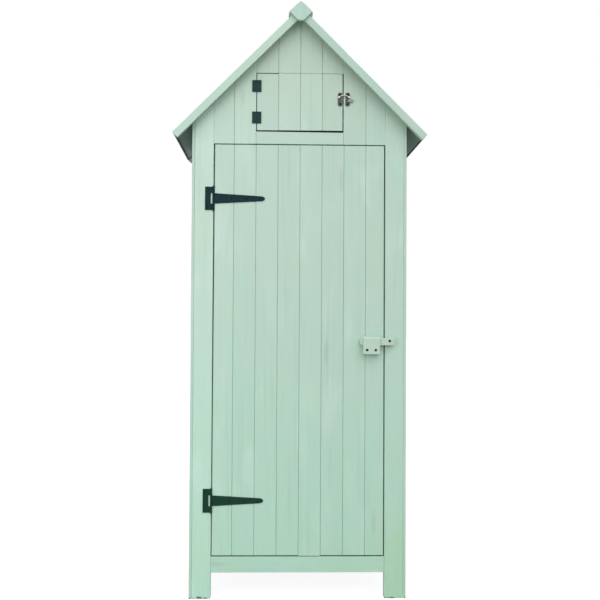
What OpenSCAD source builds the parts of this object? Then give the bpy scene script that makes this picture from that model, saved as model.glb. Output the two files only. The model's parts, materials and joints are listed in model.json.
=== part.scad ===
// Narrow wooden garden shed with a steep pitched roof, one ledged door on tee hinges and a hatch in the gable.
// Millimetres. X runs to the right across the front, Y runs from the front to the back, Z is up.
// The origin is on the ground, under the middle of the shed.

/* [Body] */
// Width of the body over the side boards
body_w = 653; // [560:1:800]
// Depth of the body from the front face to the back face
body_d = 430; // [360:1:600]
// Height of the side walls where their outer face meets the roof boards
wall_h = 1435.5; // [1300:0.5:1600]
// Clear height of the legs under the bottom rails
leg_h = 78; // [40:1:140]
// Width of a corner post across the front
post_w = 56.5; // [45:0.5:75]
// Thickness of a corner post from front to back
post_t = 28; // [24:1:40]
// Width of the side leg boards beside the posts
leg_board_w = 60; // [45:1:90]
// Thickness of the side boards and leg boards
side_t = 9; // [8:0.5:14]
// Thickness of the gable, back and door boards
board_t = 12; // [10:0.5:15]
// Height of the bottom rails
rail_h = 47; // [35:1:70]
// Thickness of the inside rails on the side walls
side_rail_t = 20; // [16:1:30]
// Height of the inside rails
inner_rail_h = 40; // [30:1:60]
// Height of the middle of the inside rails
mid_rail_z = 750; // [600:5:900]

/* [Floors] */
// Thickness of the floor boards
floor_t = 12; // [9:1:20]
// Number of bearers under the floor
bearer_count = 3; // [2:1:5]
// Width of a floor bearer
bearer_w = 25; // [18:1:40]
// Height of the head rails over the doorway
head_rail_h = 37; // [30:1:50]
// Thickness of the loft floor over the doorway
loft_t = 10; // [9:1:18]
// Height of the cleats that carry the loft floor
loft_bearer_h = 30; // [20:1:40]

/* [Doorway] */
// Distance of the doorway head below the top of the side walls
head_drop = 65.5; // [55:0.5:120]
// Gap round the door
door_gap = 5; // [5:0.5:8]
// Thickness of a door ledge
ledge_t = 14; // [10:1:15]
// Height of a door ledge
ledge_h = 60; // [40:1:90]
// Distance of the ledge ends from the door edges
ledge_inset = 32; // [25:1:60]
// Width of a door stop
stop_w = 12; // [10:1:20]
// Depth of a door stop from front to back
stop_d = 18; // [14:1:24]

/* [Tee hinges] */
// Distance of the hinges from the upper and lower ends of the door
hinge_inset = 162.5; // [90:0.5:260]
// Length of the strap from the pin to its tip
strap_len = 156; // [100:1:220]
// Height of the strap at the pin
strap_root_h = 32; // [22:1:40]
// Height of the strap at its tip
strap_tip_h = 14.5; // [8:0.5:18]
// Height of the fixed plate
plate_h = 71; // [60:1:100]
// Width of the fixed plate
plate_w = 25; // [20:1:32]
// Thickness of the hinge metal
leaf_t = 2; // [1.5:0.5:3]
// Radius of a hinge knuckle
knuckle_r = 2.8; // [2.6:0.1:4]
// Radius of the hinge pin
pin_r = 1.7; // [1.2:0.1:2.5]
// Distance of the pin from the front face
pin_out = 3.2; // [3:0.1:6]

/* [Latch] */
// Height of the underside of the latch bar above the door's lower end
latch_up = 631; // [450:1:800]
// Length of the latch bar
bar_len = 101; // [80:0.5:130]
// Height of the latch bar
bar_h = 22; // [14:1:30]
// Thickness of the latch bar
bar_t = 12; // [8:1:16]
// Distance of the bar from the front face
bar_off = 5; // [5:0.5:8]
// How far the bar reaches over the post
bar_over = 24; // [20:0.5:45]
// Width of the latch hook
hook_w = 49; // [40:1:70]
// Height of the latch hook under the bar
hook_base_h = 26.5; // [20:0.5:40]
// Height of the lip above the underside of the bar
lip_h = 24; // [16:1:34]
// Thickness of the lip in front of the bar
lip_t = 8; // [6:1:12]
// Distance of the hook from the edge of the door
hook_inset = 13.5; // [4:0.5:30]

/* [Hatch] */
// Width of the hatch
hatch_w = 260; // [200:1:300]
// Height of gable board left between the roof and the upper corners of the hatch
corner_cover = 42; // [30:1:80]
// Height of the cross board under the hatch
hatch_sill_h = 39; // [30:1:70]
// Gap round the hatch
hatch_gap = 3; // [2:0.5:5]
// Height of a hatch hinge
butt_h = 36; // [28:1:50]
// Width of a hatch hinge with both leaves
butt_w = 28; // [20:1:40]
// Distance of a hatch hinge from the end of the hatch
butt_inset = 20; // [12:1:30]

/* [Catch of the hatch] */
// Height of the middle of the catch above the hatch's lower end
catch_up = 96; // [60:0.5:130]
// Width of a screw plate of the catch
catch_plate_w = 14; // [10:0.5:18]
// Height of a screw plate of the catch
catch_plate_h = 42; // [32:0.5:54]
// Thickness of a screw plate of the catch
catch_plate_t = 2; // [1.5:0.5:3]
// Distance between the middles of the two screw plates
catch_pitch = 23; // [20:0.5:30]
// Distance of the keeper plate from the edge of the hatch
keeper_inset = 1; // [0:0.5:6]
// Distance between the ends of the wire bail
bail_span = 31; // [26:0.5:36]
// How far the bail bows up between its ends
bail_rise = 6.5; // [3:0.5:10]
// Height of the ends of the bail above the middle of the plates
bail_up = 6; // [2:0.5:8]
// Radius of the bail wire
wire_r = 1.6; // [1.2:0.1:2.2]
// Radius of the studs that the bail turns on
stud_r = 2.6; // [2.3:0.1:3.2]
// Length of the thumb lever from the middle of its plate
lever_len = 16; // [12:0.5:24]
// Height of the thumb lever
lever_h = 7.5; // [5:0.5:12]
// Thickness of the thumb lever
lever_t = 4; // [2:0.5:6]
// Distance of the lever's middle below the middle of the plates
lever_drop = 4.5; // [2:0.5:10]

/* [Roof] */
// How far the eaves stand out past the side walls
eave_over = 56.5; // [35:0.5:90]
// How far the barge boards stand out past the gables
gable_over = 42; // [30:1:80]
// Slope of the roof in degrees
pitch = 45; // [42:0.5:48]
// Thickness of the roof boards
deck_t = 10; // [8:1:16]
// Thickness of the roofing felt
felt_t = 2; // [1:0.5:4]
// Thickness of the battens under the roof overhang
batten_t = 5; // [4:1:24]
// Width of the barge boards
barge_w = 22; // [18:1:60]
// Thickness of the barge boards
barge_t = 12; // [9:1:18]
// Width of a ridge board
ridge_board_w = 39; // [30:1:70]
// Thickness of a ridge board
ridge_board_t = 12.5; // [9:0.5:16]
// Length of each side of the diamond finial
finial_side = 48.5; // [42:0.5:60]
// Thickness of the finial
finial_t = 13; // [9:1:18]
// Distance of the middle of the finial below the ridge line
finial_drop = 18.5; // [10:0.5:26]
// Height that is cut off the finial's upper and lower corners
finial_cut = 8; // [4:0.5:12]

/* [Hidden] */

$fn = 64;
paint = "#b9d4c6";
shade_paint = "#8fae9d";
felt_black = "#2b2d2e";
iron_black = "#26323a";
nickel = "#b8b8b4";

fit_gap = 0.3;       // clearance between pieces that turn or slide past each other
pin_clearance = 0.05; // radial clearance of a hinge pin
lay_gap = 0.1;       // bed of nails and sealant under the ridge boards

// Planes and faces that several pieces share
front_y = -body_d / 2;
back_y = body_d / 2;
post_out_x = body_w / 2 - side_t;
jamb_x = post_out_x - post_w;
inner_y = back_y - post_t;
board_back_y = back_y - board_t;
side_rail_x = post_out_x - side_rail_t;
sill_z = leg_h + rail_h;

// Roof planes, measured down from the ridge line, which lies under the ridge boards
slope_len = (body_w / 2 + eave_over) / cos(pitch);
soffit_t = felt_t + deck_t;
ridge_z = wall_h + body_w / 2 * tan(pitch) + soffit_t / cos(pitch);
barge_y = back_y + gable_over;
batten_y = barge_y - barge_t;

// Door leaf
head_z = wall_h - head_drop;
door_w = 2 * (jamb_x - door_gap);
door_bottom = sill_z + door_gap;
door_top = head_z - door_gap;
upper_hinge_z = door_top - hinge_inset;
lower_hinge_z = door_bottom + hinge_inset;
latch_z = door_bottom + latch_up;
pin_x = -jamb_x;
pin_y = front_y - pin_out;
stop_y = front_y + board_t + door_gap;

// Hatch and the gable boards round it
hatch_hole_x = hatch_w / 2 + hatch_gap;
hatch_hole_bottom = head_z + hatch_sill_h;
hatch_hole_top = ridge_z - hatch_hole_x * tan(pitch) - soffit_t / cos(pitch) - corner_cover;
hatch_z = hatch_hole_bottom + hatch_gap;
hatch_h = hatch_hole_top - hatch_gap - hatch_z;

// Loft floor, let in below the top of the head rails
head_rail_top = head_z + head_rail_h;
loft_top = head_rail_top - loft_t;

// Height of a plane that lies t under the roof's top surface, at x
function under_roof(x, t) = ridge_z - abs(x) * tan(pitch) - t / cos(pitch);

// A point that lies u down the left slope from the ridge and v above the slope
function on_slope(u, v) = [-u * cos(pitch) - v * sin(pitch), ridge_z - u * sin(pitch) + v * cos(pitch)];

// Where a plumb cut at the ridge meets a layer that lies v above the slope
function ridge_cut(v) = on_slope(-v * tan(pitch), v);

// An outline in X and Z, drawn out along Y
module along_y(y0, y1) {
    translate([0, y1, 0]) rotate([90, 0, 0]) linear_extrude(y1 - y0) children();
}

// An outline in Y and Z, drawn out along X
module along_x(x0, x1) {
    translate([x0, 0, 0]) rotate([90, 0, 90]) linear_extrude(x1 - x0) children();
}

// A plain timber between two corners
module timber(low, high) {
    translate(low) cube(high - low);
}

// A copy on the other side of the shed as well
module both_sides() {
    children();
    mirror([1, 0, 0]) children();
}

// A copy at the other end of the shed as well
module both_ends() {
    children();
    mirror([0, 1, 0]) children();
}

// A slope layer from the ridge to the eave, between two heights over the slope
module slope_layer(y0, y1, v0, v1, length) {
    along_y(y0, y1)
        polygon([ridge_cut(v0), ridge_cut(v1), on_slope(length, v1), on_slope(length, v0)]);
}

// A wall outline that runs up to the underside of the roof boards, between two X values on one side
module under_slope(x0, x1, z0) {
    polygon([[x0, z0], [x1, z0], [x1, under_roof(x1, soffit_t)], [x0, under_roof(x0, soffit_t)]]);
}

module front_left_post() {
    color(paint) along_y(front_y, -inner_y) under_slope(-post_out_x, -jamb_x, 0);
}

module front_right_post() {
    mirror([1, 0, 0]) front_left_post();
}

module back_left_post() {
    mirror([0, 1, 0]) front_left_post();
}

module back_right_post() {
    mirror([0, 1, 0]) front_right_post();
}

// Side boards that stand beside the posts and reach the ground as the legs' second face
module leg_boards() {
    color(paint)
        both_sides() both_ends()
            along_y(front_y, front_y + leg_board_w) under_slope(-body_w / 2, -post_out_x, 0);
}

module left_wall() {
    color(paint)
        along_y(front_y + leg_board_w, back_y - leg_board_w) under_slope(-body_w / 2, -post_out_x, leg_h);
}

module right_wall() {
    mirror([1, 0, 0]) left_wall();
}

module back_wall() {
    color(paint)
        along_y(board_back_y, back_y)
            polygon([
                [-jamb_x, sill_z], [jamb_x, sill_z], [jamb_x, under_roof(jamb_x, soffit_t)],
                [0, under_roof(0, soffit_t)], [-jamb_x, under_roof(jamb_x, soffit_t)]
            ]);
}

// Rails between the legs: the front one is the sill of the doorway
module base_rails() {
    color(paint) {
        both_ends() timber([-jamb_x, front_y, leg_h], [jamb_x, -inner_y, sill_z]);
        both_sides() timber([-post_out_x, -inner_y, leg_h], [-side_rail_x, inner_y, sill_z]);
    }
}

module mid_rails() {
    z0 = mid_rail_z - inner_rail_h / 2;
    z1 = mid_rail_z + inner_rail_h / 2;
    color(shade_paint) {
        both_sides() timber([-post_out_x, -inner_y, z0], [-side_rail_x, inner_y, z1]);
        timber([-jamb_x, inner_y, z0], [jamb_x, board_back_y, z1]);
    }
}

// Rails on top of the side walls, standing on the loft floor and bevelled to the slope of the roof
module wall_plates() {
    color(shade_paint)
        both_sides() along_y(-inner_y, inner_y) under_slope(-post_out_x, -side_rail_x, loft_top);
}

// Rails across the front and the back at the height of the loft floor
module head_rails() {
    color(shade_paint)
        both_ends() timber([-jamb_x, inner_y, head_z], [jamb_x, board_back_y, head_rail_top]);
}

module floor_boards() {
    color(shade_paint)
        timber([-side_rail_x, -inner_y, sill_z - floor_t], [side_rail_x, inner_y, sill_z]);
}

module floor_bearers() {
    step = 2 * side_rail_x / bearer_count;
    color(shade_paint)
        for (i = [0 : bearer_count - 1]) {
            x = -side_rail_x + step * (i + 0.5);
            timber([x - bearer_w / 2, -inner_y, leg_h], [x + bearer_w / 2, inner_y, sill_z - floor_t]);
        }
}

module loft_floor() {
    color(shade_paint)
        timber([-post_out_x, -inner_y, loft_top - loft_t], [post_out_x, inner_y, loft_top]);
}

module loft_bearers() {
    z1 = loft_top - loft_t;
    color(shade_paint)
        both_sides() timber([-post_out_x, -inner_y, z1 - loft_bearer_h], [-side_rail_x, inner_y, z1]);
}

// Strips that the closed door rests against, planted on the posts and under the head rail
module door_stops() {
    color(shade_paint) {
        both_sides()
            timber([-jamb_x, stop_y, sill_z], [-jamb_x + stop_w, stop_y + stop_d, head_z - stop_w - fit_gap]);
        timber([-jamb_x, stop_y, head_z - stop_w], [jamb_x, stop_y + stop_d, head_z]);
    }
}

module gable_left_boards() {
    color(paint) along_y(front_y, -board_back_y) under_slope(-jamb_x, -hatch_hole_x, head_z);
}

module gable_right_boards() {
    mirror([1, 0, 0]) gable_left_boards();
}

module gable_top_boards() {
    color(paint)
        along_y(front_y, -board_back_y)
            polygon([
                [-hatch_hole_x, hatch_hole_top], [hatch_hole_x, hatch_hole_top],
                [hatch_hole_x, under_roof(hatch_hole_x, soffit_t)], [0, under_roof(0, soffit_t)],
                [-hatch_hole_x, under_roof(hatch_hole_x, soffit_t)]
            ]);
}

// Cross board under the hatch
module hatch_sill() {
    color(paint)
        timber([-hatch_hole_x, front_y, head_z], [hatch_hole_x, -board_back_y, hatch_hole_bottom]);
}

module hatch_panel() {
    color(paint)
        timber([-hatch_w / 2, front_y, hatch_z], [hatch_w / 2, -board_back_y, hatch_z + hatch_h]);
}

module hatch_ledges() {
    y1 = -board_back_y + ledge_t;
    color(shade_paint)
        for (z = [hatch_z + butt_inset, hatch_z + hatch_h - butt_inset - butt_h])
            timber([ledge_inset - hatch_w / 2, -board_back_y, z], [hatch_w / 2 - ledge_inset, y1, z + butt_h]);
}

// Butt hinges on the left edge of the hatch
module hatch_hinges() {
    barrel_r = 2.4;
    x = -hatch_w / 2 - hatch_gap / 2;
    color(iron_black)
        for (z = [hatch_z + butt_inset, hatch_z + hatch_h - butt_inset - butt_h])
            translate([x, front_y, z]) {
                timber([-butt_w / 2, -leaf_t, 0], [butt_w / 2, 0, butt_h]);
                translate([0, -leaf_t, 0]) cylinder(h = butt_h, r = barrel_r);
            }
}

// Screw plate of the catch with round ends, standing on the front face
module catch_plate(w, h, t) {
    along_y(front_y - t, front_y) {
        translate([-w / 2, -(h - w) / 2]) square([w, h - w]);
        for (z = [-1, 1]) translate([0, z * (h - w) / 2]) circle(d = w);
    }
}

// Draw catch: a keeper on the hatch, a base beside it, and a wire bail with a thumb lever that joins them
module hatch_catch() {
    keeper_x = hatch_w / 2 - catch_plate_w / 2 - keeper_inset;
    base_x = keeper_x + catch_pitch;
    mid_x = keeper_x + catch_pitch / 2;
    plate_y = front_y - catch_plate_t;
    stud_len = catch_plate_t + 2 * wire_r + 1;
    bail_r = (bail_span * bail_span / 4 + bail_rise * bail_rise) / (2 * bail_rise);
    bail_angle = asin(bail_span / 2 / bail_r);
    color(nickel) translate([0, 0, hatch_z + catch_up]) {
        for (x = [keeper_x, base_x])
            translate([x, 0, 0]) catch_plate(catch_plate_w, catch_plate_h, catch_plate_t);
        for (x = [mid_x - bail_span / 2, mid_x + bail_span / 2])
            translate([x, front_y, bail_up]) rotate([90, 0, 0]) cylinder(h = stud_len, r = stud_r);
        translate([mid_x, plate_y - wire_r - 0.5, bail_up + bail_rise - bail_r])
            rotate([90, 0, 0]) rotate([0, 0, 90 - bail_angle])
                rotate_extrude(angle = 2 * bail_angle) translate([bail_r, 0]) circle(r = wire_r);
        timber([base_x, plate_y - lever_t, -lever_drop - lever_h / 2],
            [base_x + lever_len, plate_y + catch_plate_t / 4, -lever_drop + lever_h / 2]);
    }
}

module left_roof_deck() {
    color(shade_paint) slope_layer(-batten_y, batten_y, -soffit_t, -felt_t, slope_len - felt_t);
}

module right_roof_deck() {
    mirror([1, 0, 0]) left_roof_deck();
}

// Battens under the roof edge that the barge boards are nailed to
module left_roof_battens() {
    color(paint)
        both_ends() slope_layer(-batten_y, front_y, -soffit_t - batten_t, -soffit_t, slope_len - felt_t);
}

module right_roof_battens() {
    mirror([1, 0, 0]) left_roof_battens();
}

module front_left_barge() {
    color(paint) slope_layer(-barge_y, -batten_y, -barge_w, 0, slope_len);
}

module front_right_barge() {
    mirror([1, 0, 0]) front_left_barge();
}

module back_left_barge() {
    mirror([0, 1, 0]) front_left_barge();
}

module back_right_barge() {
    mirror([0, 1, 0]) front_right_barge();
}

// Roofing felt, turned down over the ends of the roof boards
module left_roof_felt() {
    color(felt_black)
        along_y(-batten_y, batten_y)
            polygon([
                ridge_cut(-felt_t), ridge_cut(0), on_slope(slope_len, 0), on_slope(slope_len, -soffit_t),
                on_slope(slope_len - felt_t, -soffit_t), on_slope(slope_len - felt_t, -felt_t)
            ]);
}

module right_roof_felt() {
    mirror([1, 0, 0]) left_roof_felt();
}

module left_ridge_board() {
    color(paint) slope_layer(-barge_y, barge_y, lay_gap, ridge_board_t, ridge_board_w);
}

module right_ridge_board() {
    mirror([1, 0, 0]) left_ridge_board();
}

// Diamond plates over the ends of the ridge, with the upper and lower corners cut level
module finials() {
    half_w = finial_side * cos(pitch);
    half_h = finial_side * sin(pitch);
    flat = finial_cut / tan(pitch);
    mid = ridge_z - finial_drop;
    top = mid + half_h - finial_cut;
    low = mid - half_h + finial_cut;
    color(paint)
        both_ends()
            along_y(-barge_y - finial_t, -barge_y)
                polygon([
                    [-flat, top], [-half_w, mid], [-flat, low], [flat, low], [half_w, mid], [flat, top]
                ]);
}

// Fixed plate of a tee hinge: screw plate, outer knuckles and the pin
module hinge_plate(z) {
    notch_h = strap_root_h + 2 * fit_gap;
    notch_w = knuckle_r + 5;
    pin_head = 3;
    translate([pin_x, front_y, z]) {
        difference() {
            union() {
                timber([-plate_w, -leaf_t, -plate_h / 2], [0, 0, plate_h / 2]);
                translate([0, -pin_out, -plate_h / 2]) cylinder(h = plate_h, r = knuckle_r);
            }
            timber([-notch_w, -3 * pin_out, -notch_h / 2], [knuckle_r + 1, leaf_t, notch_h / 2]);
        }
        translate([0, -pin_out, -plate_h / 2 - pin_head]) cylinder(h = plate_h + 2 * pin_head, r = pin_r);
    }
}

module hinge_plates() {
    color(iron_black) {
        hinge_plate(lower_hinge_z);
        hinge_plate(upper_hinge_z);
    }
}

// Moving strap of a tee hinge: a knuckle round the pin and a tapered leaf with a pointed tip
module hinge_strap(z) {
    point = strap_tip_h / 2;
    translate([pin_x, front_y, z])
        difference() {
            union() {
                along_y(-leaf_t, 0)
                    polygon([
                        [0, -strap_root_h / 2], [strap_len - point, -strap_tip_h / 2],
                        [strap_len, -strap_tip_h / 5], [strap_len, strap_tip_h / 5],
                        [strap_len - point, strap_tip_h / 2], [0, strap_root_h / 2]
                    ]);
                translate([0, -pin_out, -strap_root_h / 2]) cylinder(h = strap_root_h, r = knuckle_r);
            }
            translate([0, -pin_out, -strap_root_h]) cylinder(h = 2 * strap_root_h, r = pin_r + pin_clearance);
        }
}

module hinge_straps() {
    color(iron_black) {
        hinge_strap(lower_hinge_z);
        hinge_strap(upper_hinge_z);
    }
}

module door_panel() {
    color(paint)
        timber([-door_w / 2, front_y, door_bottom], [door_w / 2, front_y + board_t, door_top]);
}

// Ledges across the inside of the door, behind the hinges and the latch
module door_ledges() {
    x1 = door_w / 2 - ledge_inset;
    y0 = front_y + board_t;
    color(shade_paint)
        for (z = [lower_hinge_z, latch_z, upper_hinge_z])
            timber([-x1, y0, z - ledge_h / 2], [x1, y0 + ledge_t, z + ledge_h / 2]);
}

// Wooden hook on the door that holds the latch bar from below and in front
module latch_hook() {
    x1 = door_w / 2 - hook_inset;
    lip_back = front_y - bar_off - bar_t - fit_gap;
    hook_front = lip_back - lip_t;
    color(paint)
        along_x(x1 - hook_w, x1)
            polygon([
                [front_y, latch_z - hook_base_h], [hook_front, latch_z - hook_base_h],
                [hook_front, latch_z + lip_h], [lip_back, latch_z + lip_h],
                [lip_back, latch_z], [front_y, latch_z]
            ]);
}

// Bar that lies in the hook and reaches over the right post
module latch_bar() {
    x1 = jamb_x + bar_over;
    nose = bar_h / 4;
    color(paint)
        along_y(front_y - bar_off - bar_t, front_y - bar_off)
            polygon([
                [x1 - bar_len, latch_z + nose], [x1 - bar_len + nose, latch_z], [x1, latch_z],
                [x1, latch_z + bar_h], [x1 - bar_len + nose, latch_z + bar_h],
                [x1 - bar_len, latch_z + bar_h - nose]
            ]);
}

front_left_post();
front_right_post();
back_left_post();
back_right_post();
leg_boards();
left_wall();
right_wall();
back_wall();
base_rails();
mid_rails();
wall_plates();
head_rails();
floor_boards();
floor_bearers();
loft_floor();
loft_bearers();
door_stops();
gable_left_boards();
gable_right_boards();
gable_top_boards();
hatch_sill();
hatch_panel();
hatch_ledges();
hatch_hinges();
hatch_catch();
left_roof_deck();
right_roof_deck();
left_roof_battens();
right_roof_battens();
front_left_barge();
front_right_barge();
back_left_barge();
back_right_barge();
left_roof_felt();
right_roof_felt();
left_ridge_board();
right_ridge_board();
finials();
hinge_plates();
door_panel();
door_ledges();
hinge_straps();
latch_hook();
latch_bar();
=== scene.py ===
import bpy
import bmesh
import json
import math
import random
from mathutils import Matrix, Vector


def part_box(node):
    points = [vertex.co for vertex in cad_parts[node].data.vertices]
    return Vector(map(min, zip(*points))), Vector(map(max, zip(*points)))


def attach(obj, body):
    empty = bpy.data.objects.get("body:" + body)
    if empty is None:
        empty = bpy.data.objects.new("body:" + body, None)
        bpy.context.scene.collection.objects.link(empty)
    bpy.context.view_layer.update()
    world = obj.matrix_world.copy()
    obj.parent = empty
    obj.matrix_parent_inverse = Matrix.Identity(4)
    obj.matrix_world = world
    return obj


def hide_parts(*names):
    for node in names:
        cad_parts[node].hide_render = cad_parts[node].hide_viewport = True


# Narrow garden shed in mint paint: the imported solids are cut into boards, painted and given their screws.
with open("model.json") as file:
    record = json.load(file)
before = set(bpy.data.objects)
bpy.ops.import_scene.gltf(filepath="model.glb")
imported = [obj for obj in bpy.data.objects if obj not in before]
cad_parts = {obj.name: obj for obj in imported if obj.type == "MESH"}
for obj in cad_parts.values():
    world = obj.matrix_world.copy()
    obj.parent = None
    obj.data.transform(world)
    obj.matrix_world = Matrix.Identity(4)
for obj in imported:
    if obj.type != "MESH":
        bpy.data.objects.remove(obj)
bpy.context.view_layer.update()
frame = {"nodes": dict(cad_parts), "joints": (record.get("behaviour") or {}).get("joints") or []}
nodes = frame["nodes"]
mm = 0.001
hair = 0.01 * mm   # places closer than this count as one
right, back, up = Vector((1, 0, 0)), Vector((0, 1, 0)), Vector((0, 0, 1))
left, front, down = -right, -back, -up
chance = random.Random(41)
print("frame loaded:", len(nodes), "nodes")


# Shared helpers
def hexColour(text):
    parts = [int(text[i:i + 2], 16) / 255 for i in (1, 3, 5)]
    return tuple(c / 12.92 if c <= 0.04045 else ((c + 0.055) / 1.055) ** 2.4 for c in parts) + (1.0,)


def addNode(tree, kind, inputs=None, **settings):
    node = tree.nodes.new("ShaderNode" + kind)
    for name, value in settings.items():
        setattr(node, name, value)
    for socket, value in (inputs or {}).items():
        if isinstance(value, bpy.types.NodeSocket):
            tree.links.new(value, node.inputs[socket])
        else:
            node.inputs[socket].default_value = value
    return node


def newMaterial(name):
    material = bpy.data.materials.new(name)
    material.use_nodes = True
    tree = material.node_tree
    tree.nodes.clear()
    shader = addNode(tree, "BsdfPrincipled")
    addNode(tree, "OutputMaterial", {"Surface": shader.outputs[0]})
    return material, tree, shader


# Materials
# Fir boards, planed, then brushed with one thin coat of mint paint. The eye sees a flat pale green, greyer
# high up and fuller low down, with soft streaks where the grain drank the paint and warm or bluish clouds.
# Painted light: the greyer top is a painted sheen of the top light, and the fuller green low down is painted
# shade.
paintSettings = {
    "low": "#add3bf", "high": "#b5cfc1",              # colour near the ground and under the roof
    "sheenShadeFrom": 0.0, "sheenShadeTo": 1.1,                   # heights between which it changes, m
    # films over that colour: colour, level at which it starts, level at which it is full, most that it covers
    "warmCloud": ("#b3cdb2", 0.5, 0.75, 0.3),
    "coolCloud": ("#a9d2c5", 0.5, 0.75, 0.35),
    "paleCloud": ("#cfe3d9", 0.5, 0.78, 0.32),
    "gableShade": ("#bacaba", 1.34, 1.62, 0.6),        # painted shade: greyer and yellower on the gable under the barges, heights in m
    "lowGreen": ("#a6cfab", 0.66, 1.0, 0.7),
    "streak": ("#9cbfac", 0.5, 0.78, 0.34),
    "brushMark": ("#cfe3d9", 0.55, 0.8, 0.2),
    "knot": ("#95ad99", 0.13, 0.04, 0.3),
    "thinPaintHighlight": ("#cfe3d9", 0.35, 0.65, 0.55),       # on the arrises, where the brush left less, partly a painted highlight along the edges
    "gableShadeDepth": 230 * mm,                          # gable within this of the middle, barges beyond
    "grainWidth": 12 * mm, "grainLength": 380 * mm,   # spring and summer wood of a flat-sawn board
    "brushWidth": 4 * mm, "brushLength": 160 * mm,    # bristle marks, drawn twice as coarse as real
    "cloudWidth": 85 * mm, "cloudLength": 240 * mm,   # uneven coat
    "knotWidth": 75 * mm, "knotLength": 420 * mm,
    "brushShift": 3.1, "cloudShifts": (5.3, 11.7, 17.9),   # keep the patterns from lining up
    "lowGreenPatch": 260 * mm, "lowGreenUpTo": 0.6,         # green film low down, height in m
    "rightGreenFrom": 0.24, "rightGreenTo": 0.3,                  # thickest on the right side, X in m
    "leftGreenShare": 0.2, "rightGreenShare": 0.55,
    "smooth": 0.49, "rough": 0.66,                    # roughness on and between the bristle marks
}
footSpecks = {"film": ("#3a4735", 0.62, 0.72, 0.9),   # dark specks on the feet, thickest at the ground
                "reach": 20 * mm, "speck": 11 * mm, "atGround": 0.24, "atReach": -0.3}


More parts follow.
